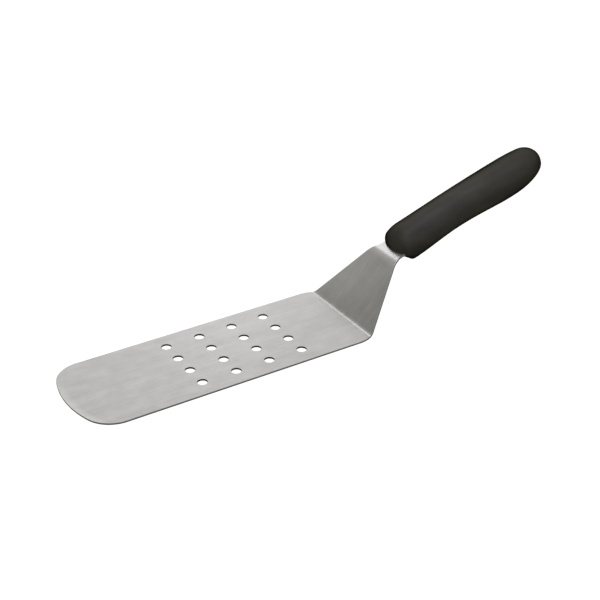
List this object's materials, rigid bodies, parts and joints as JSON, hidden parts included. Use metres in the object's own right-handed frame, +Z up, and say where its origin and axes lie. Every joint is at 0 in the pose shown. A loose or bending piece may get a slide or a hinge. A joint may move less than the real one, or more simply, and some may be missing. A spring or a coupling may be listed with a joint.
{
  "type": "grill spatula",
  "caption": "Perforated stainless grill turner: a flat blade with a rounded front edge, a raised tapering neck and a moulded black plastic grip on its tang.",
  "frame": {"origin": "the middle of the blade's flat underside, halfway between the front edge and the fold, on the centre line", "axes": "+X along the blade from the front edge towards the handle, +Z up from the flat underside towards the side that food sits on, +Y across the blade, to the left of someone looking along +X"},
  "size_m": [0.3571, 0.073, 0.0847],
  "materials": {
    "blade_steel": "satin stainless sheet with a fine straight grain along its length",
    "grip_plastic": "smooth moulded black polypropylene with a soft sheen"
  },
  "bodies": {
    "root": {"blade_with_tang": "blade_steel", "handle": "grip_plastic"}
  },
  "joints": []
}
